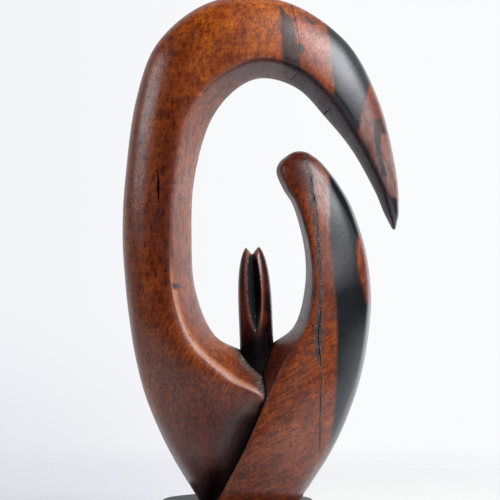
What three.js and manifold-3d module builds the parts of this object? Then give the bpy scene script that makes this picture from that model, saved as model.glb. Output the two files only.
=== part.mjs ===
// An abstract family group carved from one block of dark hardwood, standing on a dark round base.
// A tall figure bends over in a hook, a shorter one curves up beside it, and a small forked one
// stands in the fold between them. Millimetres, +Z up, seen from the front along +Y.
// The origin is on the base's underside, and the plane y = 0 halves the carving.
import * as THREE from "three";
import Module from "manifold-3d";

const wasm = await Module();
wasm.setup();

// Driving dimensions.
const BASE_TOP = 20; // thickness of the base
const BASE_RADIUS = 47.5;
const BASE_MIDDLE = [-5, 7]; // x and y; the base reaches further back than the carving
const REST_GAP = 0.3; // the carving stands this far off the base
const FOOT = BASE_TOP + REST_GAP;

// How finely each form is faceted.
const INNER_STEPS = 3; // from the mid line of an inner face to its arris
const DOME_STEPS = 10; // from the arris over the front to the outer edge
const RINGS_PER_STATION = 4;

// How bowed the inner faces are; 1 would make each one two flat planes.
const INNER_BOW = 1.08;

// A station is one cross-section of a limb. outer, ridge and arris are [x, z] in the plane of the
// carving: the outer edge, the middle of the inner face, and the edge where the inner face meets
// the front. edge is the half depth at the arris, and lean is how far the front face turns outward
// there, in degrees, negative where the face still swells.
const TALL_FIGURE = [
  { outer: [-27.5, FOOT], ridge: [14, FOOT], arris: [2, FOOT], edge: 15, lean: -38 },
  { outer: [-45.5, 50], ridge: [23.5, 51], arris: [6, 51.5], edge: 25, lean: -24 },
  { outer: [-59, 80], ridge: [21, 87], arris: [12, 81.5], edge: 28.5, lean: -18 },
  { outer: [-66, 106], ridge: [3, 108], arris: [-7.5, 94], edge: 30, lean: -12 },
  { outer: [-69.5, 128], ridge: [-17.5, 119.5], arris: [-31, 116.5], edge: 28, lean: -8 },
  { outer: [-72, 152], ridge: [-29.5, 147], arris: [-41.5, 145], edge: 25.5, lean: -4 },
  { outer: [-73.5, 179], ridge: [-32, 181], arris: [-43.5, 180.5], edge: 24, lean: -2 },
  { outer: [-72, 212], ridge: [-30.5, 212], arris: [-41.5, 211], edge: 23.5, lean: 0 },
  { outer: [-65.5, 260], ridge: [-22, 244.5], arris: [-34.5, 246.5], edge: 23.5, lean: 3 },
  { outer: [-51.5, 296], ridge: [-8, 264], arris: [-20, 268], edge: 23, lean: 6 },
  { outer: [-19, 320], ridge: [10, 272.5], arris: [5.5, 282], edge: 22.5, lean: 10 },
  { outer: [23.5, 320], ridge: [31.5, 266], arris: [30, 278], edge: 21, lean: 14 },
  { outer: [60.5, 296], ridge: [48.5, 248], arris: [51.5, 260.5], edge: 19, lean: 16 },
  { outer: [80.5, 260], ridge: [64, 229], arris: [69, 234.5], edge: 16, lean: 16 },
  { outer: [90.5, 219], ridge: [77, 206], arris: [81.5, 209.5], edge: 12.5, lean: 14 },
  { outer: [92.4, 194], ridge: [83, 192.5], arris: [86.5, 193], edge: 8, lean: 10 },
  { outer: [91, 185.5], ridge: [87.2, 184.6], arris: [88.6, 185], edge: 4, lean: 0 },
];
const SHORT_FIGURE = [
  { outer: [33, FOOT], ridge: [-20, FOOT], arris: [-16.5, FOOT], edge: 20.5, lean: -24 },
  { outer: [53, 52], ridge: [-9.5, 56], arris: [0, 52.5], edge: 28.5, lean: -18 },
  { outer: [65, 80], ridge: [4, 87], arris: [13, 81.5], edge: 29.6, lean: -16 },
  { outer: [71.5, 104], ridge: [12.5, 110], arris: [24, 104.5], edge: 27.6, lean: -12 },
  { outer: [75, 128], ridge: [29, 124], arris: [35.5, 123.5], edge: 25.8, lean: -6 },
  { outer: [75.5, 146], ridge: [35.5, 146], arris: [40, 146.5], edge: 24.4, lean: 0 },
  { outer: [72.5, 170], ridge: [35.5, 170], arris: [38.5, 170], edge: 21.6, lean: 5 },
  { outer: [65, 194], ridge: [29.2, 195], arris: [32.5, 193], edge: 18.4, lean: -6 },
  { outer: [57.5, 208], ridge: [22.4, 206.5], arris: [26.5, 205], edge: 14.2, lean: -20 },
  { outer: [50.9, 217], ridge: [18.2, 216.3], arris: [22.2, 216.4], edge: 10.8, lean: -32 },
  { outer: [44.5, 223.9], ridge: [20.2, 222.7], arris: [23.4, 222.7], edge: 8, lean: -36 },
  { outer: [38.6, 228], ridge: [26, 227.4], arris: [27.8, 227.4], edge: 4.4, lean: -38 },
];
const TALL_TIP = 3; // length of the rounded end past the last station
const SHORT_HEAD = 1.8;

// The tall figure's surface dips towards the fold where the short figure overlaps it.
const FOLD_LINE = [[10.5, 82], [3.5, 68], [-4.5, 51], [-12, 35], [-18.5, 20]];
const FOLD_DIP = 3;
const FOLD_REACH = 6.5;

// The small forked figure, as horizontal sections.
const SMALL = {
  foot: 92, // its foot is buried in the fold
  shoulder: 134, // above this height it draws in
  top: 173.5,
  halfWidth: 10.1,
  halfDepth: 10.5,
  middle: 4.75, // x of its middle at the top
  lean: 0.04, // sideways lean, millimetres per millimetre down
  grooveFoot: 120, // where the V groove runs out
  grooveHead: 170,
  grooveSlope: 1.9, // depth gained per millimetre off its middle line
  grooveLean: 0.012, // how far its line leans to the left of the figure's middle
  web: 1.2, // half thickness left between the two grooves
  notchFoot: 163.8, // above this height the web falls away into the notch
};

// A smooth curve through the stations' values of one kind.
function rail(stations, pick) {
  const points = stations.map((s) => new THREE.Vector3(...pick(s)));
  return new THREE.CatmullRomCurve3(points, false, "catmullrom", 0.5);
}

// The closed cross-section between three rail points, as points in space, running from the
// middle of the inner face over the front to the outer edge and home over the back.
function section(outer, ridge, arris, edge, lean) {
  const front = [];
  for (let i = 0; i < INNER_STEPS; i++) {
    const p = i / INNER_STEPS;
    const at = ridge.clone().lerp(arris, p ** INNER_BOW);
    front.push(new THREE.Vector3(at.x, -edge * p, at.y));
  }
  const start = THREE.MathUtils.degToRad(lean);
  for (let i = 0; i <= DOME_STEPS; i++) {
    const angle = start + (i / DOME_STEPS) * (Math.PI / 2 - start);
    const share = (Math.sin(angle) - Math.sin(start)) / (1 - Math.sin(start));
    const at = arris.clone().lerp(outer, share);
    front.push(new THREE.Vector3(at.x, (-edge * Math.cos(angle)) / Math.cos(start), at.y));
  }
  const back = front.slice(1, -1).reverse().map((v) => new THREE.Vector3(v.x, -v.y, v.z));
  front[front.length - 1].y = 0;
  return [...front, ...back];
}

// The cross-sections of a limb from its foot to its last station, then a rounded end.
function limbRings(stations, endLength, endSteps) {
  const outer = rail(stations, (s) => [...s.outer, 0]);
  const ridge = rail(stations, (s) => [...s.ridge, 0]);
  const arris = rail(stations, (s) => [...s.arris, 0]);
  const depth = rail(stations, (s) => [s.edge, s.lean, 0]);
  const rings = [];
  const count = (stations.length - 1) * RINGS_PER_STATION;
  for (let i = 0; i <= count; i++) {
    const t = i / count;
    const d = depth.getPoint(t);
    rings.push(section(outer.getPoint(t), ridge.getPoint(t), arris.getPoint(t), d.x, d.y));
  }
  const last = rings[count];
  const middle = centre(last);
  const ahead = middle.clone().sub(centre(rings[count - RINGS_PER_STATION / 2])).normalize();
  for (let i = 1; i <= endSteps; i++) {
    const shrink = 1 - i / (endSteps + 1);
    const step = ahead.clone().multiplyScalar(endLength * (1 - shrink ** 2));
    rings.push(last.map((v) => v.clone().sub(middle).multiplyScalar(shrink).add(middle).add(step)));
  }
  return rings;
}

// Presses a ring in near the fold, on the front and the back alike.
function dipIntoFold(ring) {
  const at = new THREE.Vector3();
  const near = new THREE.Vector3();
  for (const v of ring) {
    at.set(v.x, 0, v.z);
    let distance = Infinity;
    for (let i = 0; i + 1 < FOLD_LINE.length; i++) {
      const [[x0, z0], [x1, z1]] = [FOLD_LINE[i], FOLD_LINE[i + 1]];
      const run = new THREE.Line3(new THREE.Vector3(x0, 0, z0), new THREE.Vector3(x1, 0, z1));
      run.closestPointToPoint(at, true, near);
      distance = Math.min(distance, near.distanceTo(at));
    }
    const below = THREE.MathUtils.clamp((FOLD_LINE[0][1] + 2 - v.z) / 8, 0, 1);
    const dip = FOLD_DIP * Math.exp(-((distance / FOLD_REACH) ** 2)) * below;
    v.y -= Math.sign(v.y) * Math.min(dip, Math.abs(v.y));
  }
}

function centre(ring) {
  const sum = new THREE.Vector3();
  ring.forEach((v) => sum.add(v));
  return sum.divideScalar(ring.length);
}

// A closed solid through a row of rings of equal length, with a flat fan over each end.
function loft(rings) {
  const n = rings[0].length;
  const points = rings.flat();
  const triangles = [];
  for (let r = 0; r + 1 < rings.length; r++) {
    for (let i = 0; i < n; i++) {
      const a = r * n + i;
      const b = r * n + ((i + 1) % n);
      triangles.push([a, b, b + n], [a, b + n, a + n]);
    }
  }
  const first = points.push(centre(rings[0])) - 1;
  const last = points.push(centre(rings.at(-1))) - 1;
  const end = (rings.length - 1) * n;
  for (let i = 0; i < n; i++) {
    const j = (i + 1) % n;
    triangles.push([first, j, i], [last, end + i, end + j]);
  }
  const mesh = new wasm.Mesh({
    numProp: 3,
    vertProperties: new Float32Array(points.flatMap((v) => [v.x, v.y, v.z])),
    triVerts: new Uint32Array(triangles.flat()),
  });
  const solid = new wasm.Manifold(mesh);
  if (solid.volume() > 0) return solid;
  mesh.triVerts = new Uint32Array(triangles.map(([a, b, c]) => [a, c, b]).flat());
  return new wasm.Manifold(mesh);
}

// The small figure before its grooves: a bud of elliptical sections.
function bud() {
  const rings = [];
  const rows = 20;
  const sides = 28;
  for (let r = 0; r <= rows; r++) {
    const rise = Math.sin(((r / rows) * Math.PI) / 2) * 0.995;
    const z = SMALL.foot + (SMALL.top - SMALL.foot) * rise;
    const up = Math.max(0, (z - SMALL.shoulder) / (SMALL.top - SMALL.shoulder));
    const w = SMALL.halfWidth * (1 - up ** 2.4) ** 0.4;
    const d = SMALL.halfDepth * (1 - up ** 2.2) ** 0.6;
    const ring = [];
    for (let i = 0; i < sides; i++) {
      const a = (i / sides) * Math.PI * 2;
      ring.push(new THREE.Vector3(smallMiddle(z) + w * Math.sin(a), d * Math.cos(a), z));
    }
    rings.push(ring);
  }
  return loft(rings);
}

function smallMiddle(z) {
  return SMALL.middle + SMALL.lean * (SMALL.grooveHead - z);
}

// The wedge that cuts the groove on one side. Above the notch's foot its edge passes the middle,
// so that the two grooves open into each other.
function grooveCutter(side) {
  const rings = [];
  const rows = 20;
  const reach = 14;
  const height = SMALL.top + 4 - SMALL.grooveFoot;
  for (let r = 0; r <= rows; r++) {
    const z = SMALL.grooveFoot - 2 + (height + 2) * (r / rows);
    const down = (SMALL.grooveHead - z) / (SMALL.grooveHead - SMALL.grooveFoot);
    const runOut = (SMALL.halfDepth - SMALL.web) * Math.max(0, down) ** 4;
    const notch = 0.13 * Math.max(0, z - SMALL.notchFoot) ** 2;
    const edge = SMALL.web + runOut - notch;
    const x = smallMiddle(z) - SMALL.grooveLean * (z - SMALL.grooveFoot);
    rings.push([
      new THREE.Vector3(x, side * edge, z),
      new THREE.Vector3(x - reach, side * (edge + reach * SMALL.grooveSlope), z),
      new THREE.Vector3(x + reach, side * (edge + reach * SMALL.grooveSlope), z),
    ]);
  }
  return loft(rings);
}

function carving() {
  const tallRings = limbRings(TALL_FIGURE, TALL_TIP, 3);
  tallRings.forEach(dipIntoFold);
  const tall = loft(tallRings);
  const short = loft(limbRings(SHORT_FIGURE, SHORT_HEAD, 3));
  const small = bud().subtract(grooveCutter(-1)).subtract(grooveCutter(1));
  return tall.add(short).add(small);
}

// The base: a flat slab, roughly round, with a softly worn rim.
function slab() {
  const sides = 56;
  const rimProfile = [
    [-1.5, 0],
    [0, 2],
    [0.6, 9],
    [0, 15],
    [-1.2, 18],
    [-3.4, BASE_TOP],
  ];
  const rings = rimProfile.map(([out, z]) => {
    const ring = [];
    for (let i = 0; i < sides; i++) {
      const a = (i / sides) * Math.PI * 2;
      const uneven = 1 + 0.02 * Math.sin(2 * a + 0.6) + 0.012 * Math.sin(3 * a + 2) + 0.006 * Math.sin(7 * a);
      const r = BASE_RADIUS * uneven + out;
      ring.push(new THREE.Vector3(BASE_MIDDLE[0] + r * Math.cos(a), BASE_MIDDLE[1] + r * Math.sin(a), z));
    }
    return ring;
  });
  return loft(rings);
}

function meshOf(name, solid, material) {
  const made = solid.getMesh();
  const geometry = new THREE.BufferGeometry();
  geometry.setAttribute("position", new THREE.BufferAttribute(made.vertProperties, 3));
  geometry.setIndex(new THREE.BufferAttribute(made.triVerts, 1));
  geometry.computeVertexNormals();
  const mesh = new THREE.Mesh(geometry, material);
  mesh.name = name;
  return mesh;
}

const carvedWood = new THREE.MeshStandardMaterial({ color: 0x7a3f24, roughness: 0.32, metalness: 0 });
const darkBase = new THREE.MeshStandardMaterial({ color: 0x3a3837, roughness: 0.65, metalness: 0 });

const family = new THREE.Group();
family.add(meshOf("family_carving", carving(), carvedWood));
family.add(meshOf("base_slab", slab(), darkBase));

export default family;
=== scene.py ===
import bmesh
import bpy
import numpy as np
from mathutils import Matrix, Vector
from mathutils.bvhtree import BVHTree
from mathutils.kdtree import KDTree


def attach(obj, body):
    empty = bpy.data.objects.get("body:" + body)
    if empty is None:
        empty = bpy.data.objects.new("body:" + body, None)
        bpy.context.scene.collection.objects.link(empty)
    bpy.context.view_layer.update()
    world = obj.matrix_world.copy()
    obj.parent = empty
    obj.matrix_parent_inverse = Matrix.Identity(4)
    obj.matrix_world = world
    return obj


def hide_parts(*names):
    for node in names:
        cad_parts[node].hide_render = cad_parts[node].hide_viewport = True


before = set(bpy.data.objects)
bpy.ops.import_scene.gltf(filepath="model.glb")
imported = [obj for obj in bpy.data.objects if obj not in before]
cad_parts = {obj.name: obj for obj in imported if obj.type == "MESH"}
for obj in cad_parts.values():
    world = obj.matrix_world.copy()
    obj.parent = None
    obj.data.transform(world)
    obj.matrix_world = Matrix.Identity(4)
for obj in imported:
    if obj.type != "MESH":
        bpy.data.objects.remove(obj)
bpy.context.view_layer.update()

MM = 0.001
BASE_TOP = 20.0
BASE_RADIUS = 47.5
BASE_MIDDLE = (-5.0, 7.0)
FOOT = 20.3

# One cross-section of a limb a row: outer edge, middle of the inner face, arris (all x, z), half
# depth at the arris, how far the front face leans outward there (degrees, negative where it still
# swells), and how softly the arris is rounded.
TALL_FIGURE = [
    ((-27.5, FOOT), (14, FOOT), (2, 21), 15, -38, 0.9),
    ((-45.5, 50), (23.5, 51), (6, 51.5), 25, -24, 3.0),
    ((-59, 80), (21, 87), (12, 81.5), 28.5, -18, 4.0),
    ((-66, 106), (3, 108), (-7.5, 94), 30, -12, 5.0),
    ((-69.5, 128), (-17.5, 119.5), (-31, 116.5), 28, -8, 4.6),
    ((-72, 152), (-29.5, 147), (-41.5, 145), 25.5, -4, 2.6),
    ((-73.5, 179), (-32, 181), (-43.5, 180.5), 24, -2, 1.2),
    ((-72, 212), (-30.5, 212), (-41.5, 211), 23.5, 0, 0.9),
    ((-65.5, 260), (-22, 244.5), (-34.5, 246.5), 23.5, 3, 1.1),
    ((-51.5, 296), (-8, 264), (-20, 268), 23, 6, 1.8),
    ((-19, 320), (10, 272.5), (5.5, 282), 22.5, 10, 3.6),
    ((23.5, 320), (31.5, 266), (30, 278), 21, 14, 4.2),
    ((60.5, 296), (48.5, 248), (51.5, 260.5), 19, 16, 4.0),
    ((80.5, 260), (64, 229), (69, 234.5), 16, 16, 3.4),
    ((90.5, 219), (77, 206), (81.5, 209.5), 12.5, 14, 2.6),
    ((92.4, 194), (83, 192.5), (86.5, 193), 8, 10, 1.4),
    ((91, 185.5), (87.2, 184.6), (88.6, 185), 4, 0, 0.5),
]
SHORT_FIGURE = [
    ((33, FOOT), (-20, FOOT), (-16.5, 21), 20.5, -24, 0.4),
    ((53, 52), (-9.5, 56), (0, 52.5), 28.5, -18, 0.4),
    ((65, 80), (4, 87), (13, 81.5), 29.6, -16, 0.5),
    ((71.5, 104), (12.5, 110), (24, 104.5), 27.6, -12, 0.6),
    ((75, 128), (29, 124), (35.5, 123.5), 25.8, -6, 1.6),
    ((75.5, 146), (35.5, 146), (40, 146.5), 24.4, 0, 2.4),
    ((72.5, 170), (35.5, 170), (38.5, 170), 21.6, 5, 3.2),
    ((65, 194), (29.2, 195), (32.5, 193), 18.4, -6, 4.0),
    ((57.5, 208), (22.4, 206.5), (26.5, 205), 14.2, -20, 4.2),
    ((50.9, 217), (18.2, 216.3), (22.2, 216.4), 10.8, -32, 4.0),
    ((44.5, 223.9), (20.2, 222.7), (23.4, 222.7), 8, -36, 3.0),
    ((38.6, 228), (26, 227.4), (27.8, 227.4), 4.4, -38, 1.5),
]
TALL_TIP = 3.0
SHORT_HEAD = 1.8

# The tall figure's surface dips towards the fold where the short figure's arris overlaps it.
FOLD_LINE = [(10.5, 82), (3.5, 68), (-4.5, 51), (-12, 35), (-18.5, 20)]
FOLD_DIP, FOLD_REACH, FOLD_FADE = 3.0, 6.5, 8.0

# The small forked figure.
SMALL_FOOT, SMALL_SHOULDER, SMALL_TOP = 92.0, 134.0, 173.5
SMALL_HALF_WIDTH, SMALL_HALF_DEPTH = 10.1, 10.5
SMALL_MIDDLE, SMALL_LEAN = 4.75, 0.04
WIDTH_POWERS, DEPTH_POWERS = (2.4, 0.4), (2.2, 0.6)  # how it closes from its shoulder to its top
LAST_RING = 0.995  # how far up it the last ring is, since a ring at the top would be a point
GROOVE_FOOT, GROOVE_HEAD, GROOVE_SLOPE, GROOVE_LEAN = 120.0, 170.0, 1.9, 0.012
WEB, NOTCH_FOOT = 1.2, 163.8

# The three figures meet below this height.
MEETING_TOP = 118.0

# How finely the surface is made.
RINGS_PER_STATION = 21
RINGS_AT_THE_TIP = 8
INNER_STEPS = 18
DOME_STEPS = 44
BUD_ROWS, BUD_SIDES = 120, 112
GROOVE_ROWS = 100
BUD_GRAIN, BUD_SMOOTHING = 0.5, 5

INNER_BOW = 1.08  # 1 would make the inner face two flat planes
INNER_CROWDING, DOME_CROWDING = 1.6, 1.45  # above 1, a section's points crowd towards the arris
SOFTEST = 1 / 24  # the widest rounding, as a share of the way round a section
GROOVE_REACH, GROOVE_HALF_WIDTH = 14.0, 6.0
NOTCH_OPENING = 0.13

# How far the marks on the surface reach from what they mark.
SMALL_MARK, INNER_FACE_MARK, SMALL_ARRIS_MARK, TALL_ARRIS_MARK, CREASE_MARK = 0.8, 2.0, 3.2, 6.0, 9.0
GROOVE_MARK = 0.3

# The bend between two faces, in degrees, from which their edge is an arris or a crease, and from
# which it is shaded as sharp.
EDGE_BEND, SHARP_BEND, SHARP_RIM_BEND = 24, 32, 40


def rail(points, t):
    """Points along a uniform Catmull-Rom curve through the given ones, t from 0 to 1."""
    points = np.asarray(points, float)
    padded = np.vstack([2 * points[0] - points[1], points, 2 * points[-1] - points[-2]])
    at = np.asarray(t) * (len(points) - 1)
    i = np.minimum(at.astype(int), len(points) - 2)
    w = (at - i)[:, None]
    p0, p1, p2, p3 = (padded[i + k] for k in range(4))
    m1, m2 = (p2 - p0) / 2, (p3 - p1) / 2
    return (
        (2 * w**3 - 3 * w**2 + 1) * p1 + (w**3 - 2 * w**2 + w) * m1
        + (3 * w**2 - 2 * w**3) * p2 + (w**3 - w**2) * m2
    )


def section(outer, ridge, arris, edge, lean):
    """A closed cross-section, from the middle of the inner face round the front and back home, with
    its points closest together at the arris."""
    p = 1 - (1 - np.arange(INNER_STEPS) / INNER_STEPS) ** INNER_CROWDING
    flat = ridge + (arris - ridge) * (p**INNER_BOW)[:, None]
    inner = np.column_stack([flat[:, 0], -edge * p, flat[:, 1]])
    start = np.radians(lean)
    angle = start + (np.pi / 2 - start) * np.linspace(0, 1, DOME_STEPS + 1) ** DOME_CROWDING
    share = (np.sin(angle) - np.sin(start)) / (1 - np.sin(start))
    dome = arris + (outer - arris) * share[:, None]
    dome = np.column_stack([dome[:, 0], -edge * np.cos(angle) / np.cos(start), dome[:, 1]])
    dome[-1, 1] = 0
    front = np.vstack([inner, dome])
    back = front[-2:0:-1] * (1, -1, 1)
    return np.vstack([front, back])


def rounded(ring, soft):
    """The ring with its corners worn round, by a moving average along its length."""
    steps = np.linalg.norm(np.roll(ring, -1, axis=0) - ring, axis=1)
    along = np.concatenate([[0], np.cumsum(steps)[:-1]])
    around = steps.sum()
    gap = np.abs(along[:, None] - along[None, :])
    gap = np.minimum(gap, around - gap)
    soft = min(soft, around * SOFTEST)
    weight = np.exp(-((gap / soft) ** 2)) * (steps + np.roll(steps, 1))[None, :]
    return weight @ ring / weight.sum(axis=1)[:, None]


def limb_rings(stations, end_length):
    """A limb's cross-sections through its stations, drawn together to a point past the last."""
    t = np.linspace(0, 1, (len(stations) - 1) * RINGS_PER_STATION + 1)
    outer, ridge, arris = (rail([s[k] for s in stations], t) for k in range(3))
    depth = rail([s[3:6] for s in stations], t)
    rings = [
        rounded(section(o, r, a, d[0], d[1]), d[2])
        for o, r, a, d in zip(outer, ridge, arris, depth)
    ]
    last = rings[-1]
    middle = last.mean(axis=0)
    ahead = middle - rings[-RINGS_PER_STATION // 2].mean(axis=0)
    ahead /= np.linalg.norm(ahead)
    for shrink in np.linspace(1, 0.02, RINGS_AT_THE_TIP + 1)[1:]:
        rings.append((last - middle) * shrink + middle + ahead * end_length * (1 - shrink**2))
    return rings


def loft(name, rings):
    """A closed mesh through a row of rings of equal length, with a fan over each end."""
    n = len(rings[0])
    points = np.vstack(rings + [rings[0].mean(axis=0), rings[-1].mean(axis=0)])
    first, last = len(points) - 2, len(points) - 1
    faces = []
    for r in range(len(rings) - 1):
        for i in range(n):
            a, b = r * n + i, r * n + (i + 1) % n
            faces.append((a, b, b + n, a + n))
    end = (len(rings) - 1) * n
    for i in range(n):
        j = (i + 1) % n
        faces.append((first, j, i))
        faces.append((last, end + i, end + j))
    mesh = bpy.data.meshes.new(name)
    mesh.from_pydata((points * MM).tolist(), [], faces)
    work = bmesh.new()
    work.from_mesh(mesh)
    bmesh.ops.recalc_face_normals(work, faces=work.faces)
    work.to_mesh(mesh)
    work.free()
    piece = bpy.data.objects.new(name, mesh)
    bpy.context.scene.collection.objects.link(piece)
    return piece


def small_middle(z):
    """How far to the right the small figure's middle is at a height."""
    return SMALL_MIDDLE + SMALL_LEAN * (GROOVE_HEAD - z)


def closing(up, powers):
    """How much of its breadth the small figure has, at a share of the way from shoulder to top."""
    return (1 - up ** powers[0]) ** powers[1]


def small_bud():
    """The small figure before its grooves are cut, a bud that closes towards its top."""
    rings = []
    a = np.arange(BUD_SIDES) / BUD_SIDES * 2 * np.pi
    for r in range(BUD_ROWS + 1):
        z = SMALL_FOOT + (SMALL_TOP - SMALL_FOOT) * np.sin(r / BUD_ROWS * np.pi / 2) * LAST_RING
        up = max(0.0, (z - SMALL_SHOULDER) / (SMALL_TOP - SMALL_SHOULDER))
        w = SMALL_HALF_WIDTH * closing(up, WIDTH_POWERS)
        d = SMALL_HALF_DEPTH * closing(up, DEPTH_POWERS)
        x, y = small_middle(z) + w * np.sin(a), d * np.cos(a)
        rings.append(np.column_stack([x, y, np.full(BUD_SIDES, z)]))
    return loft("small_bud", rings)


def groove_cutter(side):
    """A wedge that cuts the small figure's groove, on the front where side is -1, and its notch."""
    rings = []
    for z in np.linspace(GROOVE_FOOT - 2, SMALL_TOP + 4, GROOVE_ROWS + 1):
        down = (GROOVE_HEAD - z) / (GROOVE_HEAD - GROOVE_FOOT)
        edge = WEB + (SMALL_HALF_DEPTH - WEB) * max(0.0, down) ** 4
        edge -= NOTCH_OPENING * max(0.0, z - NOTCH_FOOT) ** 2
        x = small_middle(z) - GROOVE_LEAN * (z - GROOVE_FOOT)
        far = side * (edge + GROOVE_REACH * GROOVE_SLOPE)
        rings.append(np.array([
            [x, side * edge, z], [x - GROOVE_REACH, far, z], [x + GROOVE_REACH, far, z],
        ]))
    return loft("groove_cutter", rings)


def worn_smooth(piece, grain, rounds):
    """Remake a mesh in even facets of the given size and let its edges wear round."""
    remesh = piece.modifiers.new("even", "REMESH")
    remesh.mode = "VOXEL"
    remesh.voxel_size = grain * MM
    smooth = piece.modifiers.new("worn", "SMOOTH")
    smooth.factor = 0.5
    smooth.iterations = rounds
    apply_modifiers(piece)


def apply_modifiers(piece):
    bpy.context.view_layer.update()
    made = bpy.data.meshes.new_from_object(piece.evaluated_get(bpy.context.evaluated_depsgraph_get()))
    piece.modifiers.clear()
    piece.data = made


def combine(piece, other, operation):
    """Join or cut one mesh with another and throw the other away."""
    boolean = piece.modifiers.new("combine", "BOOLEAN")
    boolean.operation = operation
    boolean.object = other
    boolean.solver = "EXACT"
    apply_modifiers(piece)
    bpy.data.objects.remove(other)


def sharp_edges(piece):
    """Points along the hollow creases and along the proud arrises of a mesh."""
    work = bmesh.new()
    work.from_mesh(piece.data)
    creases, arrises = [], []
    for edge in work.edges:
        if len(edge.link_faces) != 2 or edge.calc_face_angle() < np.radians(EDGE_BEND):
            continue
        start, end = (vert.co for vert in edge.verts)
        if not edge.is_convex and start.z > MEETING_TOP * MM:
            continue
        found = arrises if edge.is_convex else creases
        found.extend(start.lerp(end, share) for share in (0, 0.25, 0.5, 0.75, 1))
    work.free()
    return creases, arrises


def store(piece, name, values):
    piece.data.attributes.new(name, "FLOAT", "POINT").data.foreach_set("value", values)


def mark_near(piece, name, points, reach):
    """A number on each vertex, 1 at the given points and falling to 0 at reach from them."""
    tree = KDTree(len(points))
    for i, point in enumerate(points):
        tree.insert(point, i)
    tree.balance()
    store(piece, name, [max(0.0, 1 - tree.find(v.co)[2] / (reach * MM)) for v in piece.data.vertices])


def vertex_places(piece):
    """The x, y and z of each vertex, in millimetres."""
    at = np.empty(len(piece.data.vertices) * 3)
    piece.data.vertices.foreach_get("co", at)
    return at.reshape(-1, 3).T / MM


def depth_inside(outline, x, z):
    """How many millimetres inside a closed outline each place is, negative outside it."""
    near, inside = np.full(len(x), 99.0), np.zeros(len(x), bool)
    for (x0, z0), (x1, z1) in zip(outline, outline[1:] + outline[:1]):
        run = np.array([x1 - x0, z1 - z0])
        share = np.clip(((x - x0) * run[0] + (z - z0) * run[1]) / (run @ run), 0, 1)
        near = np.minimum(near, np.hypot(x - x0 - share * run[0], z - z0 - share * run[1]))
        if z0 != z1:
            inside ^= ((z0 > z) != (z1 > z)) & (x < x0 + (z - z0) * run[0] / run[1])
    return np.where(inside, near, -near)


# Outlines of the near-black heartwood, as x and z. Its layers go through the block from front to
# back, so the same outlines serve both sides.
BLACK_WOOD_OUTLINES = [
    [(45, 318), (47.6, 307.6), (49.5, 300.4), (50.6, 293.4), (51.6, 284.8), (52.4, 275), (53, 264.3),
     (51.6, 257.4), (47.3, 251.3), (42.6, 249.8), (57, 228.8), (72, 201.2), (84.6, 178), (90.6, 176),
     (94.2, 186.8), (92.8, 200), (87, 202), (83.9, 206), (80.3, 213), (76, 222), (71.8, 230.2),
     (67.6, 236.7), (67.9, 242.6), (68.8, 248.6), (70.7, 255.3), (72.6, 261.4), (75.4, 271.7),
     (81, 274.4), (70.2, 296), (57, 311.6)],
    [(44.9, 222.7), (50.2, 214), (50.3, 205.5), (50.5, 196.5), (50.3, 178.5), (51.2, 169.6),
     (52.3, 157.8), (53.1, 146), (54, 134.2), (54.3, 122.4), (54.3, 104.7), (53.7, 90), (53.2, 78),
     (52.1, 69), (51, 60), (49.7, 52), (60, 48.8), (78, 86), (85.8, 122), (82.2, 138.2), (72, 138.9),
     (70.8, 144.8), (68.9, 151.3), (67.1, 159), (66.6, 166.8), (67, 174), (67.7, 178.8), (72.6, 183.2),
     (61.8, 209), (52.2, 224)],
]
# Outlines of wood that is only part of the way to black.
SMOKY_WOOD_OUTLINES = [
    [(20.3, 315.8), (21.1, 306), (21.6, 296.8), (21.9, 287.7), (22.5, 281.8), (22.6, 275.5),
     (33.8, 275), (32.5, 280.7), (32, 286.7), (34.3, 286), (35.5, 289), (34.4, 292), (31.4, 292),
     (30.3, 299), (29.4, 306), (25.6, 310), (22.1, 314.5)],
    [(76.4, 247.7), (79.9, 249), (80.7, 241.3), (80.9, 232), (82.4, 223.3), (84.2, 214.4),
     (82, 212.6), (79.6, 221.4), (77.8, 229.7), (76.7, 238.7)],
    [(78.6, 247.8), (81.2, 248.6), (83.7, 244), (85.6, 239.4), (87.3, 232), (89.2, 223.8),
     (90.5, 215.5), (94.2, 215.6), (90.6, 232.4), (87, 243), (85.5, 240), (82.9, 238.4), (80.7, 240.6)],
    [(35.2, 311.3), (39.4, 308), (42.9, 305), (41, 303), (36.3, 306.7)],
    [(-43.2, 150), (-38.4, 149.5), (-38.4, 147), (-42.3, 146)],
]
# Rough brittle wood along the short figure's long crack.
BRITTLE_WOOD_OUTLINES = [
    [(34.9, 226.6), (36.6, 226.8), (38.6, 219), (40.2, 214), (40.8, 206), (42, 200), (43, 193),
     (44.3, 180), (44.9, 163.7), (45.6, 150), (45.5, 137), (45.6, 122.5), (45.4, 103.7), (44.9, 92),
     (45, 70), (44.8, 50), (43.9, 50), (44, 70), (44, 92), (43.6, 101), (41.2, 107), (40.6, 118),
     (41, 128), (43, 138), (43.2, 150), (42.5, 163.7), (41.4, 180), (40.4, 190.4), (38.7, 196.3),
     (37.6, 205.3), (36.4, 216.2)],
]
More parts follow.
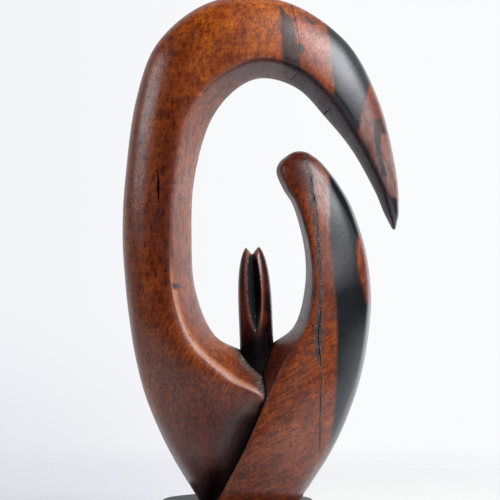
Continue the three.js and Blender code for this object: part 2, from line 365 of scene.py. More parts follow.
# Broad differences in how light the wood is: the middle of the place (x, z), its half width and
# half height, how far it leans to the right with each millimetre of rise, and how many times as
# light the wood is there as elsewhere.
SHADES = [
    ((3, 308), (46, 26), 0, 1.55),
    ((-62, 240), (14, 36), 0.1, 0.8),
    ((-56, 180), (14, 26), 0, 0.88),
    ((-55, 140), (16, 20), 0, 0.82),
    ((-45, 205), (7, 62), 0, 0.52),
    ((-36, 190), (6, 44), 0, 1.3),
    ((-17, 112), (20, 9), -0.9, 1.35),
    ((-42, 104), (14, 14), 0, 0.86),
    ((-26, 62), (20, 24), 0, 0.62),
    ((-30, 32), (14, 14), 0, 0.42),
    ((-10, 64), (13, 20), 0.3, 0.42),
    ((32, 218), (13, 14), 0, 0.42),
    ((33, 195), (7, 20), 0.2, 0.95),
    ((18, 104), (9, 14), 0.5, 0.5),
    ((27, 74), (16, 18), 0.3, 0.8),
    ((50, 150), (4, 34), 0, 0.8),
    ((24, 92), (10, 12), 0, 0.9),
    ((20, 26), (26, 13), 0, 0.6),
    ((72, 156), (6, 22), 0, 0.8),
    ((75, 250), (9, 18), 0, 0.66),
    ((83, 215), (8, 20), -0.3, 0.36),
]
USUAL_SHADE = 0.215

# Places where a pale, dull coat lies on the wood, partly dust and wear and partly painted sheen and
# painted highlight, as above, with how thick the coat is last.
SHEEN_AND_DUST_PATCHES = [
    # the painted highlight on the short figure's head
    ((47, 202), (7, 20), -0.25, 0.42),
    ((45, 178), (5, 24), 0, 0.05),
    ((33, 218), (12, 12), 0, 0.02),
    ((72, 243), (7, 14), -0.3, 0.14),
    ((86, 220), (8, 22), -0.3, 0.26),
    ((-57, 192), (9, 24), 0, 0.025),
    ((-30, 68), (24, 26), 0, 0.04),
    ((-17, 112), (20, 9), -0.9, 0.03),
    ((-36, 190), (6, 60), 0, 0.06),
    ((30, 66), (22, 30), 0, 0.035),
]


def leaning_patches(patches, x, z):
    """For each patch, the square of how far each place is from its middle, where its edge is 1 away,
    and the patch's last number."""
    for (x0, z0), (wide, high), lean, value in patches:
        across, up = (x - x0 - lean * (z - z0)) / wide, (z - z0) / high
        yield across**2 + up**2, value


def mark_wood(piece):
    """Store on each vertex how deep it is in each kind of darker wood, and how light its wood is."""
    x, _, z = vertex_places(piece)
    for name, outlines in (
        ("black_wood", BLACK_WOOD_OUTLINES),
        ("smoky_wood", SMOKY_WOOD_OUTLINES),
        ("brittle_wood", BRITTLE_WOOD_OUTLINES),
    ):
        store(piece, name, np.max([depth_inside(outline, x, z) for outline in outlines], axis=0))
    shade = np.full(len(x), USUAL_SHADE)
    for off, times in leaning_patches(SHADES, x, z):
        shade *= times ** np.exp(-off)
    store(piece, "shade", shade)
    sheen_and_dust = np.zeros(len(x))
    for off, thick in leaning_patches(SHEEN_AND_DUST_PATCHES, x, z):
        sheen_and_dust = np.maximum(sheen_and_dust, thick * np.exp(-(off**2)))
    store(piece, "sheen_and_dust", sheen_and_dust)


# Cracks: rows of x, z and width, with the crack's depth last.
CRACKS = [
    ([(38.8, 214.8, 0.1), (39.6, 213, 0.6), (39.8, 211, 0.5), (40.2, 207.2, 0.15), (40.7, 203, 0.2),
      (40.9, 201.8, 0.9), (41.1, 200.2, 0.8), (41.7, 197.6, 0.25), (42.1, 194, 0.15), (42.8, 190.4, 0.35),
      (42.6, 186, 0.15), (42.8, 182.6, 0.35), (43.3, 178, 0.15)], 1.2),
    ([(43.4, 174, 0.3), (44.1, 168, 0.15), (44.6, 161, 0.3), (44.9, 154, 0.15)], 1.0),
    ([(44.9, 140, 0.15), (44.6, 134, 0.35), (44.1, 127, 0.5), (43.3, 121, 0.8), (43, 117, 0.5),
      (43.7, 111, 0.7), (44.4, 105, 0.5), (44.6, 101, 0.2)], 1.4),
    ([(44.6, 98, 0.15), (44.8, 94, 0.4), (44.6, 86, 0.2), (44.5, 80, 0.3), (44.1, 70, 0.15),
      (44.2, 62, 0.3), (44, 52, 0.15)], 1.2),
    ([(38.6, 127.2, 0.2), (39.6, 125.4, 0.5), (40.8, 124, 0.2)], 1.2),
    ([(-52, 221, 0.3), (-51.6, 215.6, 0.7), (-51, 211.6, 0.9), (-51.3, 209, 1.9), (-51.3, 205.6, 2.0),
      (-51.1, 202, 1.3), (-50.8, 199, 0.6), (-50.7, 196.4, 0.2)], 3.0),
    ([(23.4, 271.7, 0.15), (26.9, 271.7, 0.3), (29.8, 273.3, 0.3), (32, 275.2, 0.25),
      (32.1, 278.5, 0.15)], 1.2),
    ([(46.9, 251, 0.4), (50, 253.3, 0.35), (51.8, 255.4, 0.15)], 1.5),
    ([(13.7, 274.3, 0.3), (14.2, 274.3, 0.8), (14.7, 274.3, 0.3)], 1.0),
    ([(27.3, 317.6, 0.2), (28.7, 313.9, 0.35), (29.5, 309.9, 0.4), (30.1, 306.1, 0.3), (31.9, 296.7, 0.2),
      (33, 284, 0.15)], 0.8),
]


BLADE_CLEARANCE = 1.5  # how far a crack's cutter stands out of the surface
HAIRLINE = 0.3  # the narrower a crack is than this, the shallower


def crack_blade(path, deep, surface):
    """A thin wedge that stands in the surface along a path and comes to a point inside."""
    path = np.array(path)
    along = np.gradient(path[:, :2], axis=0)
    along /= np.linalg.norm(along, axis=1, keepdims=True)
    rings = []
    for (x, z, width), (run_x, run_z) in zip(path, along):
        start = Vector((x * MM, -0.1, z * MM))
        hit = surface.ray_cast(start, Vector((0, 1, 0)))[0]
        top = (hit.y / MM if hit else 0) - BLADE_CLEARANCE
        half = width / 2 * (deep + BLADE_CLEARANCE) / deep
        side = np.array([run_z, -run_x]) * half
        rings.append(np.array([
            [x + side[0], top, z + side[1]], [x - side[0], top, z - side[1]],
            [x, top + BLADE_CLEARANCE + deep * min(1.0, width / HAIRLINE), z],
        ]))
    return loft("crack", rings)


def dipped(ring):
    """The ring pressed in near the fold, on the front and back alike."""
    flat = ring[:, (0, 2)]
    nearest = np.full(len(ring), np.inf)
    for start, end in zip(FOLD_LINE, FOLD_LINE[1:]):
        start, run = np.array(start, float), np.subtract(end, start)
        share = np.clip((flat - start) @ run / (run @ run), 0, 1)
        nearest = np.minimum(nearest, np.linalg.norm(flat - start - share[:, None] * run, axis=1))
    low = np.clip((FOLD_LINE[0][1] + 2 - flat[:, 1]) / FOLD_FADE, 0, 1)
    dip = FOLD_DIP * np.exp(-((nearest / FOLD_REACH) ** 2)) * low
    at = ring.copy()
    at[:, 1] -= np.sign(at[:, 1]) * np.minimum(dip, np.abs(at[:, 1]))
    return at


def mark_groove(piece):
    """A number on each vertex, 1 on the walls of the small figure's grooves and 0 elsewhere."""
    x, y, z = vertex_places(piece)
    down = np.clip((GROOVE_HEAD - z) / (GROOVE_HEAD - GROOVE_FOOT), 0, 1)
    floor = WEB + (SMALL_HALF_DEPTH - WEB) * down**4
    wall = floor + GROOVE_SLOPE * np.abs(x - small_middle(z) + GROOVE_LEAN * (z - GROOVE_FOOT))
    off = np.abs(np.abs(y) - wall) / np.hypot(1, GROOVE_SLOPE)
    off[(z < GROOVE_FOOT) | (z > SMALL_TOP) | (np.abs(x - small_middle(z)) > GROOVE_HALF_WIDTH)] = 1
    store(piece, "groove", np.clip(1.6 - off / GROOVE_MARK, 0, 1))


def carve_small_figure():
    """The small figure with its grooves worn smooth, and points along its arrises."""
    small = small_bud()
    for side in (-1, 1):
        combine(small, groove_cutter(side), "DIFFERENCE")
    arrises = sharp_edges(small)[1]
    worn_smooth(small, BUD_GRAIN, BUD_SMOOTHING)
    return small, arrises


def crack_surface(piece):
    surface = BVHTree.FromPolygons(
        [v.co for v in piece.data.vertices], [p.vertices for p in piece.data.polygons])
    for blade in [crack_blade(path, deep, surface) for path, deep in CRACKS]:
        combine(piece, blade, "DIFFERENCE")


def mark_inner_face(piece, name, rings):
    """A number on each vertex, 1 on the inner face of the limb with the given cross-sections."""
    across = slice(0, 2 * INNER_STEPS - 3)
    inner = np.vstack([np.roll(ring, INNER_STEPS - 2, axis=0)[across] for ring in rings])
    mark_near(piece, name, [Vector(point) for point in inner * MM], INNER_FACE_MARK)


def carve_family():
    """The three figures as one closed surface, marked for its wood."""
    tall_rings = [dipped(ring) for ring in limb_rings(TALL_FIGURE, TALL_TIP)]
    short_rings = limb_rings(SHORT_FIGURE, SHORT_HEAD)
    tall_arris = [
        Vector(ring[INNER_STEPS] * side * MM) for ring in tall_rings for side in ((1, 1, 1), (1, -1, 1))
    ]
    family = loft("family_carving_surface", tall_rings)
    short = loft("short_figure", short_rings)
    small, small_arrises = carve_small_figure()
    small_points = [v.co.copy() for v in small.data.vertices]
    combine(family, short, "UNION")
    combine(family, small, "UNION")
    creases = sharp_edges(family)[0]
    crack_surface(family)
    mark_near(family, "small_figure", small_points, SMALL_MARK)
    mark_near(family, "crease", creases, CREASE_MARK)
    mark_near(family, "near_small_arris", small_arrises, SMALL_ARRIS_MARK)
    mark_near(family, "tall_arris", tall_arris, TALL_ARRIS_MARK)
    mark_inner_face(family, "tall_inner_face", tall_rings)
    mark_inner_face(family, "short_inner_face", short_rings)
    mark_groove(family)
    mark_wood(family)
    family.data.shade_smooth()
    family.data.set_sharp_from_angle(angle=np.radians(SHARP_BEND))
    return family


def new_material(name):
    material = bpy.data.materials.new(name)
    material.use_nodes = True
    return material


class Nodes:
    """A few short hands for building a node tree."""

    def __init__(self, owner):
        self.tree = owner.node_tree
        self.shader = self.tree.nodes.get("Principled BSDF")

    def add(self, kind, inputs=None, **settings):
        node = self.tree.nodes.new(kind)
        for key, value in settings.items():
            setattr(node, key, value)
        for key, value in (inputs or {}).items():
            self.set(node.inputs[key], value)
        return node

    def set(self, socket, value):
        if isinstance(value, bpy.types.NodeSocket):
            self.tree.links.new(value, socket)
        else:
            socket.default_value = value

    def math(self, operation, a, b=0.0, c=0.0):
        node = self.add("ShaderNodeMath", operation=operation)
        for socket, value in zip(node.inputs, (a, b, c)):
            self.set(socket, value)
        return node.outputs[0]

    def product(self, first, *others):
        for other in others:
            first = self.math("MULTIPLY", first, other)
        return first

    def highest(self, first, *others):
        for other in others:
            first = self.math("MAXIMUM", first, other)
        return first

    def plus(self, total, *terms):
        """The total and each term's value times its weight."""
        for value, weight in terms:
            total = self.math("MULTIPLY_ADD", value, weight, total)
        return total

    def rest(self, share):
        return self.math("SUBTRACT", 1.0, share)

    def span(self, value, low, high, to_low=0.0, to_high=1.0):
        """A smooth step from one value to another as the input goes from low to high."""
        inputs = {"Value": value, "From Min": low, "From Max": high, "To Min": to_low, "To Max": to_high}
        node = self.add("ShaderNodeMapRange", inputs, interpolation_type="SMOOTHSTEP")
        return node.outputs["Result"]

    def mix(self, share, a, b):
        node = self.add("ShaderNodeMix", {"Factor": share, "A": a, "B": b}, data_type="RGBA")
        return node.outputs["Result"]

    def noise(self, vector, scale, detail, roughness=0.5):
        inputs = {"Vector": vector, "Scale": scale, "Detail": detail, "Roughness": roughness}
        return self.add("ShaderNodeTexNoise", inputs).outputs["Fac"]

    def stretched(self, vector, scale, lean=0.0):
        """The place as seen by a texture that is stretched, then leans to the right by an angle."""
        inputs = {"Vector": vector, "Rotation": (0, lean, 0), "Scale": tuple(1 / k for k in scale)}
        return self.add("ShaderNodeMapping", inputs, vector_type="TEXTURE").outputs["Vector"]


BLACK_WOOD = (0.0075, 0.0080, 0.0095, 1)
PALE_SHEEN_AND_DUST = (0.40, 0.31, 0.28, 1)
ARRIS_SHEEN_AND_WEAR = (0.60, 0.28, 0.16, 1)
DUST, DUST_SPECK = (0.035, 0.026, 0.020, 1), (0.36, 0.31, 0.28, 1)
INNER_PURPLE, INNER_STREAK = (0.042, 0.015, 0.023, 1), (0.012, 0.007, 0.008, 1)
BRITTLE, BRITTLE_SPECK = (0.014, 0.008, 0.007, 1), (0.15, 0.095, 0.085, 1)
SMALL_DARK, SMALL_RED = (0.008, 0.003, 0.003, 1), (0.12, 0.010, 0.008, 1)
SMALL_TIP, SMALL_FOOT_BLACK = (0.040, 0.009, 0.005, 1), (0.006, 0.004, 0.005, 1)
SMALL_RIM_HIGHLIGHT = (0.21, 0.062, 0.030, 1)
GROOVE_DARK_SIDE, GROOVE_LIT_SIDE = (0.005, 0.004, 0.005, 1), (0.040, 0.037, 0.040, 1)
CREASE_PAINTED_SHADE = (0.008, 0.006, 0.006, 1)
PORE = (0.012, 0.007, 0.006, 1)

# The fold between the two large figures, seen from the front: how far it leans to the right with each
# metre of rise, and where it would meet the floor.
FOLD_LEAN, FOLD_FOOT = 0.468, -0.0262


class CarvedWood(Nodes):
    """The carving's wood, worked out from the marks on its vertices and from a few noises. Heights
    and the like are in metres."""

    def __init__(self, owner):
        super().__init__(owner)
        self.where = self.add("ShaderNodeTexCoord").outputs["Object"]
        place = self.add("ShaderNodeSeparateXYZ", {"Vector": self.where}).outputs
        self.x, self.height = place["X"], place["Z"]
        self.crease, self.tall_arris, self.groove, self.tall_inner, self.short_inner = map(
            self.mark, ("crease", "tall_arris", "groove", "tall_inner_face", "short_inner_face"))
        self.small = self.span(self.mark("small_figure"), 0.05, 0.6)

        self.fine = self.grain((900, 900, 520), 0.15, 4.0, 0.66)
        self.flecks = self.grain((330, 330, 160), 0.15, 4.0, 0.6)
        self.cloudy = self.grain((70, 70, 30), 0.1, 4.0, 0.6)
        self.streaks = self.grain((300, 210, 45), 0.1, 4.0, 0.7)
        self.combed = self.grain((800, 800, 110), -0.28, 3.0, 0.6)
        self.fray = self.math("SUBTRACT", self.grain((520, 520, 150), 0.1, 4.0, 0.65), 0.5)

        self.black = self.inside_outlines("black_wood", 2.2, -1.5, 1.3)
        self.smoky = self.inside_outlines("smoky_wood", 4.0, -0.9, 0.9, 0.85)
        self.brittle = self.inside_outlines("brittle_wood", 4.5, -1.6, 1.5)

        # Beside the fold, on the tall figure's side and on the short figure's inner face low down:
        # painted shade from the overlapping arris, over darker wood.
        off_fold = self.plus(self.x, (self.height, -FOLD_LEAN))
        self.left_of_fold = self.span(off_fold, FOLD_FOOT, FOLD_FOOT - 0.001)
        beside_fold = self.product(self.left_of_fold, self.span(off_fold, -0.050, -0.030))
        beside_fold = self.highest(beside_fold, self.span(self.short_inner, 0.5, 0.9))
        self.beside_fold = self.product(beside_fold, self.span(self.height, 0.088, 0.068))
        self.inner = self.highest(self.tall_inner, self.short_inner)
        self.hook_inner = self.product(self.tall_inner, self.span(self.x, 0.020, 0.036))
        short_inner_black = self.product(
            self.short_inner,
            self.span(self.height, 0.112, 0.136),
            self.span(self.height, 0.214, 0.194),
            self.span(self.streaks, 0.35, 0.62, 1.0, 0.25),
        )
        self.dark = self.highest(self.black, self.smoky, short_inner_black)
        self.inner_purple = self.highest(short_inner_black, self.hook_inner)
        # Painted sheen on the tall figure's inner faces, high up.
        painted_inner_sheen = self.product(self.tall_inner, self.span(self.height, 0.150, 0.180))
        self.sheen_and_dust = self.plus(self.mark("sheen_and_dust"), (painted_inner_sheen, 0.07))
        pores = self.grain((1500, 1500, 300), 0.15, 2.0)
        pores = self.math("ADD", pores, self.span(self.flecks, 0.60, 0.36, -0.03, 0.07))
        self.pores = self.product(
            self.span(pores, 0.63, 0.70),
            self.span(self.x, -0.030, -0.048, 0.25, 0.7),
            self.span(self.mark("small_figure"), 0.5, 0.05),
        )

    def mark(self, name):
        return self.add("ShaderNodeAttribute", attribute_name=name).outputs["Fac"]

    def grain(self, scale, lean, detail, roughness=0.5):
        return self.noise(self.stretched(self.where, scale, lean), 1.0, detail, roughness)

    def inside_outlines(self, name, ragged, outside, inside, full=1.0):
        """How fully the wood is of a darker kind, from its depth inside that kind's outlines, with a
        ragged edge."""
        return self.span(self.plus(self.mark(name), (self.fray, ragged)), outside, inside, 0.0, full)

    def dimmed(self, share, strength):
        return self.plus(1.0, (share, -strength))

    def lightness(self):
        """How light the plain wood is, smudged and clouded, with slanting lines low down."""
        low_down = self.span(self.height, 0.155, 0.110)
        smudges = self.product(
            self.span(self.flecks, 0.34, 0.58, -0.36, 0.05), self.dimmed(low_down, 0.5))
        curl = self.grain((60, 60, 420), -0.12, 3.0, 0.6)
        curls = self.grain((300, 300, 1000), -0.35, 2.5, 0.6)
        curls = self.math("ABSOLUTE", self.math("SUBTRACT", curls, 0.5))
        curls = self.product(
            self.span(curls, 0.0, 0.028, 0.5, 0.0), self.span(self.flecks, 0.62, 0.42, 0.15, 1.0))
        hatch = self.grain((120, 120, 850), -0.5, 4.0, 0.65)
        hatch = self.product(self.span(hatch, 0.34, 0.62, -0.42, 0.22), self.rest(self.left_of_fold))
        strokes = self.grain((1100, 1100, 90), 0.55, 4.0, 0.7)
        strokes = self.product(self.span(strokes, 0.36, 0.62, -0.45, 0.22), self.left_of_fold)
        slanting = self.math("ADD", hatch, strokes)
        arch_inner = self.product(self.tall_inner, self.span(self.height, 0.262, 0.278))
        return self.product(
            self.mark("shade"),
            self.span(self.fine, 0.3, 0.62, 0.58, 1.14),
            # painted shade beside the fold
            self.dimmed(self.beside_fold, 0.92),
            self.math("ADD", smudges, 1.0),
            self.span(self.cloudy, 0.3, 0.7, 0.75, 1.25),
            self.span(curl, 0.3, 0.7, 0.84, 1.16),
            self.math("MULTIPLY_ADD", slanting, low_down, 1.0),
            self.rest(curls),
            self.dimmed(arch_inner, 0.55),
            self.dimmed(self.hook_inner, 0.75),
        )

    def plain_colour(self):
        """The lighter wood's colour, redder where it is darker."""
        light = self.lightness()
        return self.add("ShaderNodeCombineColor", {
            "Red": light,
            "Green": self.product(self.math("POWER", light, 1.4), 0.335),
            "Blue": self.plus(0.0008, (light, 0.012)),
        }).outputs["Color"]

    def dusty(self, wood):
        """The wood with grey dust and pale specks on it in the hollow beside the small figure."""
        specks = self.span(self.noise(self.where, 1300.0, 1.5), 0.56, 0.62)
        thick = self.product(
            self.span(self.crease, 0.0, 0.5),
            self.span(self.height, 0.074, 0.082),
            self.tall_inner,
            self.span(self.fine, 0.35, 0.65, 0.5, 0.95),
        )
        return self.mix(thick, wood, self.mix(specks, DUST, DUST_SPECK))

    def small_colour(self):
        """The small figure: red and black in clouds, with a black foot, grooves in painted shade with a
        lit side, and painted highlights along its rims.
        """
        colour = self.mix(self.span(self.cloudy, 0.47, 0.62), SMALL_DARK, SMALL_RED)
        colour = self.mix(self.span(self.height, 0.138, 0.160), colour, SMALL_TIP)
        colour = self.mix(self.span(self.height, 0.130, 0.112), colour, SMALL_FOOT_BLACK)
        valley = MM * (SMALL_MIDDLE + SMALL_LEAN * GROOVE_HEAD + GROOVE_LEAN * GROOVE_FOOT)
        off_valley = self.plus(self.x, (self.height, SMALL_LEAN + GROOVE_LEAN))
        lit_side = self.span(off_valley, valley + 0.0004, valley - 0.0006)
        colour = self.mix(self.groove, colour, self.mix(lit_side, GROOVE_DARK_SIDE, GROOVE_LIT_SIDE))
        # A painted highlight along the small figure's rims.
        rim = self.product(
            self.span(self.mark("near_small_arris"), 0.05, 0.85),
            self.span(self.height, 0.118, 0.130),
            self.span(self.height, 0.1745, 0.1665),
            self.rest(self.groove),
        )
        return self.mix(rim, colour, SMALL_RIM_HIGHLIGHT)

    def colour(self):
        wood = self.plain_colour()
        # A pale coat, partly dust and wear, partly painted sheen and painted highlight.
        thick_sheen_and_dust = self.product(self.sheen_and_dust, self.span(self.combed, 0.32, 0.62, 0.35, 1.35))
        wood = self.mix(thick_sheen_and_dust, wood, PALE_SHEEN_AND_DUST)
        # Lighter worn wood along the tall figure's arris, widened into a painted highlight.
        arris_sheen_and_wear = self.product(
            self.span(self.tall_arris, 0.1, 1.0),
            self.span(self.tall_inner, 0.0, 0.3),
            self.span(self.height, 0.172, 0.145),
            0.5,
        )
        wood = self.dusty(self.mix(arris_sheen_and_wear, wood, ARRIS_SHEEN_AND_WEAR))
        wood = self.mix(self.dark, wood, BLACK_WOOD)
        wood = self.mix(self.product(self.inner_purple, 0.7), wood, INNER_PURPLE)
        inner_streaks = self.product(self.inner, self.span(self.streaks, 0.46, 0.34, 0.0, 0.6))
        wood = self.mix(inner_streaks, wood, INNER_STREAK)
        specks = self.span(self.noise(self.where, 1100.0, 1.5), 0.56, 0.64)
        brittle = self.mix(specks, BRITTLE, BRITTLE_SPECK)
        wood = self.mix(self.product(self.brittle, 0.9), wood, brittle)
        wood = self.mix(self.small, wood, self.small_colour())
        # Painted shade deep in the creases, nearly black.
        wood = self.mix(self.product(self.span(self.crease, 0.78, 0.98), 0.9), wood, CREASE_PAINTED_SHADE)
        return self.mix(self.pores, wood, PORE)

    def dull_pores_and_painted_shade(self):
        """Where the surface doesn't shine, as metallic and nearly black: painted shade in the creases,
        beside the fold, in the grooves and at the small figure's foot, and dull pores and streaks on the
        inner faces.
        """
        dull_pores_and_painted_shade = self.highest(
            self.span(self.crease, 0.72, 0.95),
            self.span(self.beside_fold, 0.45, 1.0),
            self.product(self.small, self.span(self.height, 0.132, 0.112)),
            self.product(self.groove, 0.6),
            self.product(self.pores, self.rest(self.dark)),
            self.product(
                self.highest(self.short_inner, self.hook_inner),
                self.span(self.combed, 0.54, 0.42, 0.0, 0.6),
            ),
        )
        return self.product(dull_pores_and_painted_shade, 0.85)

    def roughness(self):
        wax = self.span(self.noise(self.where, 60.0, 5.0, 0.6), 0.3, 0.7, 0.21, 0.31)
        uneven = self.product(
            self.span(self.fine, 0.34, 0.60, 0.055, -0.03), self.dimmed(self.black, 0.7))
        return self.plus(
            self.math("ADD", wax, uneven),
            (self.inner, 0.08),
            (self.black, -0.07),
            (self.sheen_and_dust, 0.5),
            (self.product(self.small, self.span(self.height, 0.118, 0.150)), 0.02),
            (self.span(self.tall_arris, 0.3, 1.0), 0.14),
            (self.span(self.crease, 0.4, 1.0), 0.4),
            (self.brittle, 0.2),
        )

    def relief(self):
        """Pores, scratches and fine grain in the surface."""
        scratches = self.grain((110, 110, 2600), 0.75, 2.0)
        relief = self.plus(
            self.product(scratches, 0.3),
            (self.pores, -0.2),
            (self.noise(self.where, 850.0, 3.0, 0.6), 0.7),
            (self.fine, 0.3),
            (self.product(self.fray, self.brittle), 5.0),
            (self.product(self.streaks, self.short_inner), 5.0),
        )
        relief = self.product(relief, self.span(self.tall_arris, 1.0, 0.4, 0.3, 1.0))
        bump = self.add("ShaderNodeBump", {"Height": relief, "Strength": 0.5, "Distance": 0.0002})
        return bump.outputs["Normal"]


def carved_wood():
    wood_material = new_material("carved_wood")
    wood = CarvedWood(wood_material)
    wood.set(wood.shader.inputs["Base Color"], wood.colour())
    wood.set(wood.shader.inputs["Metallic"], wood.dull_pores_and_painted_shade())
    wood.set(wood.shader.inputs["Roughness"], wood.roughness())
    wood.shader.inputs["Specular IOR Level"].default_value = 0.5
    wood.set(wood.shader.inputs["Normal"], wood.relief())
    return wood_material


BASE_BLACK, BASE_GRAIN = (0.05, 0.047, 0.05, 1), (0.19, 0.18, 0.185, 1)
RIM_DARK, RIM_PALE = (0.10, 0.085, 0.055, 1), (0.25, 0.22, 0.15, 1)


def base_wood():
    base_material = new_material("base_wood")
    n = Nodes(base_material)
    where = n.add("ShaderNodeTexCoord").outputs["Object"]
    height = n.add("ShaderNodeSeparateXYZ", {"Vector": where}).outputs["Z"]
    grain = n.noise(n.stretched(where, (30, 420, 420)), 1.0, 4.0, 0.6)
    top = n.mix(n.span(grain, 0.35, 0.7), BASE_BLACK, BASE_GRAIN)
    chips = n.noise(n.stretched(where, (160, 160, 320)), 1.0, 5.0, 0.7)
    rim = n.mix(n.span(chips, 0.35, 0.65), RIM_DARK, RIM_PALE)
    on_rim = n.span(height, 0.0192, 0.0172)
    n.set(n.shader.inputs["Base Color"], n.mix(on_rim, top, rim))
    n.set(n.shader.inputs["Roughness"], n.plus(0.65, (on_rim, 0.2)))
    n.shader.inputs["Specular IOR Level"].default_value = 0.2
    lumps = n.product(chips, on_rim)
    bump = n.add("ShaderNodeBump", {"Height": lumps, "Strength": 0.6, "Distance": 0.0012})
    n.set(n.shader.inputs["Normal"], bump.outputs["Normal"])
    return base_material


# The base's rim: heights, and how far it stands out from the base's radius at each.
RIM_HEIGHTS = [0, 2, 9, 15, 18, BASE_TOP]
RIM_OUT = [-1.5, 0, 0.6, 0, -1.2, -3.4]
RIM_LUMPS = 0.25
INSIDE_THE_SOLID = 0.3
BASE_SIDES, BASE_ROWS = 360, 34


def make_base():
    """The slab, with a finely lumpy rim, inside the solid that it stands for."""
    rings = []
    a = np.arange(BASE_SIDES) / BASE_SIDES * 2 * np.pi
    uneven = 1 + 0.02 * np.sin(2 * a + 0.6) + 0.012 * np.sin(3 * a + 2) + 0.006 * np.sin(7 * a)
    for z in np.linspace(0, BASE_TOP, BASE_ROWS):
        out = np.interp(z, RIM_HEIGHTS, RIM_OUT)
        lumps = RIM_LUMPS * np.sin(31 * a + z) * np.sin(0.9 * z + 5 * a) - INSIDE_THE_SOLID
        r = BASE_RADIUS * uneven + out + lumps
        x, y = BASE_MIDDLE[0] + r * np.cos(a), BASE_MIDDLE[1] + r * np.sin(a)
        rings.append(np.column_stack([x, y, np.full(BASE_SIDES, z)]))
    piece = loft("base_slab_surface", rings)
    piece.data.shade_smooth()
    piece.data.set_sharp_from_angle(angle=np.radians(SHARP_RIM_BEND))
    return piece


COOL_WHITE = (0.955, 0.985, 1.04, 1)
BACKDROP_LEFT = (0.885, 0.890, 0.930, 1)
BACKDROP_LOW_LEFT = (0.73, 0.75, 0.80, 1)
BACKDROP_RIGHT = (0.955, 0.960, 0.975, 1)
FLOOR_LEFT, FLOOR_RIGHT = (0.692, 0.685, 0.715, 1), (0.765, 0.75, 0.71, 1)
FLOOR_HALF = 2.0
LIT_FROM = Vector((0.01, 0, 0.19))


def softbox(name, across, up, distance, spread, level):
    """A lamp seen from the object across and up by the given degrees, as in the surroundings below,
    spread degrees wide and high, and as bright as the level says."""
    across, up = np.radians(across), np.radians(up)
    way = Vector((np.cos(up) * np.sin(across), np.cos(up) * np.cos(across), np.sin(up)))
    data = bpy.data.lights.new(name, "AREA")
    data.shape = "RECTANGLE"
    data.size, data.size_y = (2 * distance * np.tan(np.radians(angle / 2)) for angle in spread)
    data.energy = level * np.pi * data.size * data.size_y
    data.color = COOL_WHITE[:3]
    lamp = bpy.data.objects.new(name, data)
    lamp.location = LIT_FROM + way * distance
    lamp.rotation_euler = (-way).to_track_quat("-Z", "Y").to_euler()
    bpy.context.scene.collection.objects.link(lamp)


def make_stage():
    """A pale floor that fades into the pale surroundings with distance."""
    floor = bpy.data.meshes.new("floor")
    corners = [(FLOOR_HALF * x, FLOOR_HALF * y, 0) for x, y in ((-1, -1), (1, -1), (1, 1), (-1, 1))]
    floor.from_pydata(corners, [], [(0, 1, 2, 3)])
    stage = bpy.data.objects.new("floor", floor)
    bpy.context.scene.collection.objects.link(stage)
    stage.visible_glossy = False
    stage.visible_diffuse = False
    floor.materials.append(new_material("pale_floor"))
    n = Nodes(floor.materials[0])
    where = n.add("ShaderNodeTexCoord").outputs["Object"]
    away = n.add("ShaderNodeVectorMath", {0: where}, operation="LENGTH").outputs["Value"]
    side = n.add("ShaderNodeSeparateXYZ", {"Vector": where}).outputs["X"]
    # Painted shade darkens the floor towards the left, and painted light warms and brightens it towards
    # the right.
    n.set(n.shader.inputs["Base Color"], n.mix(n.span(side, -0.14, 0.08), FLOOR_LEFT, FLOOR_RIGHT))
    n.shader.inputs["Roughness"].default_value = 0.9
    n.shader.inputs["Specular IOR Level"].default_value = 0.0
    n.set(n.shader.inputs["Alpha"], n.span(away, 0.8, 0.1))


# What surrounds the object, as patches of light: the direction from straight behind it towards the
# right and the elevation, both in degrees, how softly the patch ends, and its brightness. Where
# patches overlap, the brightest holds.
SURROUNDINGS = [
    dict(across=(-400, 400), up=(-35, -10), soft=8, level=0.72),  # the pale floor
    dict(across=(-140, -55), up=(-35, -13), soft=10, level=1.1),
    dict(across=(146, 200), up=(-42, -4), soft=10, level=1.1),
    dict(across=(-214, -160), up=(-36, -4), soft=10, level=0.8),
    dict(across=(60, 158), up=(-48, -7), soft=8, level=1.55),
    dict(across=(-66, -28), up=(-44, -14), soft=12, level=1.3),
    dict(across=(-40, 14), up=(-80, -38), soft=12, level=1.7),
    dict(across=(0, 50), up=(-70, -6), soft=12, level=1.35),
    dict(across=(24, 54), up=(-12, 24), soft=8, level=2.2),  # the lit side of the backdrop
    dict(across=(46, 55), up=(-40, 8), soft=8, level=2.7),
    dict(across=(22, 60), up=(10, 30), soft=12, level=1.4),
    dict(across=(16, 60), up=(28, 60), soft=12, level=0.65),
    dict(across=(-60, 30), up=(-18, 75), soft=12, level=0.8),  # its dim side
    dict(across=(62, 104), up=(14, 60), soft=12, level=1.1),  # the ceiling over the softbox
    dict(across=(58, 170), up=(42, 72), soft=14, level=1.0),
    dict(across=(146, 180), up=(10, 60), soft=12, level=1.1),
    dict(across=(-40, 190), up=(60, 100), soft=14, level=0.5),
    dict(across=(-400, 400), up=(60, 100), soft=14, level=0.14),
    dict(across=(-84, -62), up=(-10, 34), soft=12, level=0.5),
    dict(across=(-200, -162), up=(20, 75), soft=14, level=0.3),
]
DIM_ROOM = 0.04


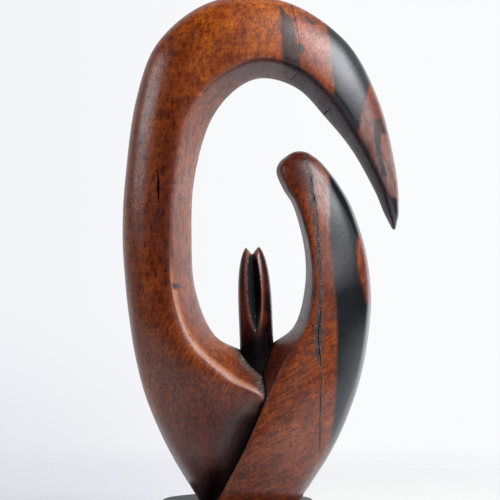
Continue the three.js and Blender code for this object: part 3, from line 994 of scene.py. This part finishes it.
def make_world():
    """Pale to the camera. As light, a dim room with a pale floor and a backdrop in it."""
    world = bpy.data.worlds.new("studio")
    bpy.context.scene.world = world
    world.use_nodes = True
    n = Nodes(world)
    n.tree.nodes.clear()
    way = n.add("ShaderNodeTexCoord").outputs["Generated"]
    way = n.add("ShaderNodeSeparateXYZ", {"Vector": way}).outputs
    across = n.math("MULTIPLY", n.math("ARCTAN2", way["X"], way["Y"]), 180 / np.pi)
    up = n.math("MULTIPLY", n.math("ARCSINE", way["Z"]), 180 / np.pi)
    level = DIM_ROOM
    for patch in SURROUNDINGS:
        half = patch["soft"] / 2
        lit = patch["level"]
        for value, (low, high) in ((across, patch["across"]), (up, patch["up"])):
            lit = n.math("MULTIPLY", lit, n.span(value, low - half, low + half))
            lit = n.math("MULTIPLY", lit, n.span(value, high + half, high - half))
        level = n.math("MAXIMUM", level, lit)
    room = n.add("ShaderNodeBackground", {"Color": COOL_WHITE, "Strength": level})
    # The backdrop as the camera sees it: painted shade darkens it to the left, and more so low on the
    # left.
    left = n.mix(n.span(way["Z"], 0.0, -0.1), BACKDROP_LEFT, BACKDROP_LOW_LEFT)
    seen = n.mix(n.span(way["X"], -0.16, 0.05), left, BACKDROP_RIGHT)
    seen = n.add("ShaderNodeBackground", {"Color": seen})
    ray = n.add("ShaderNodeLightPath").outputs["Is Camera Ray"]
    choose = n.add("ShaderNodeMixShader", {"Fac": ray, 1: room.outputs[0], 2: seen.outputs[0]})
    n.add("ShaderNodeOutputWorld", {"Surface": choose.outputs[0]})


CAMERA_PLACE, LOOKED_AT = Vector((0.003, -1.3, 0.145)), Vector((0.003, 0, 0.170))
LENS = 156


def make_camera():
    data = bpy.data.cameras.new("camera")
    data.sensor_width = 36
    data.lens = LENS
    camera = bpy.data.objects.new("camera", data)
    camera.location = CAMERA_PLACE
    camera.rotation_euler = (LOOKED_AT - CAMERA_PLACE).to_track_quat("-Z", "Y").to_euler()
    bpy.context.scene.collection.objects.link(camera)
    bpy.context.scene.camera = camera


family = carve_family()
family.data.materials.append(carved_wood())
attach(family, "root")
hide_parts("family_carving")

base = make_base()
base.data.materials.append(base_wood())
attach(base, "root")
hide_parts("base_slab")

make_stage()
make_world()
softbox("right_softbox_rim", across=126, up=37, distance=1.7, spread=(45, 45), level=2.4)
softbox("right_softbox", across=127, up=37, distance=1.6, spread=(37, 34), level=3.3)
softbox("right_softbox_middle", across=127, up=36.5, distance=1.5, spread=(22, 22), level=7.5)
softbox("left_softbox", across=-103, up=22, distance=1.5, spread=(30, 27), level=4.4)
make_camera()
bpy.context.scene.view_settings.view_transform = "Standard"
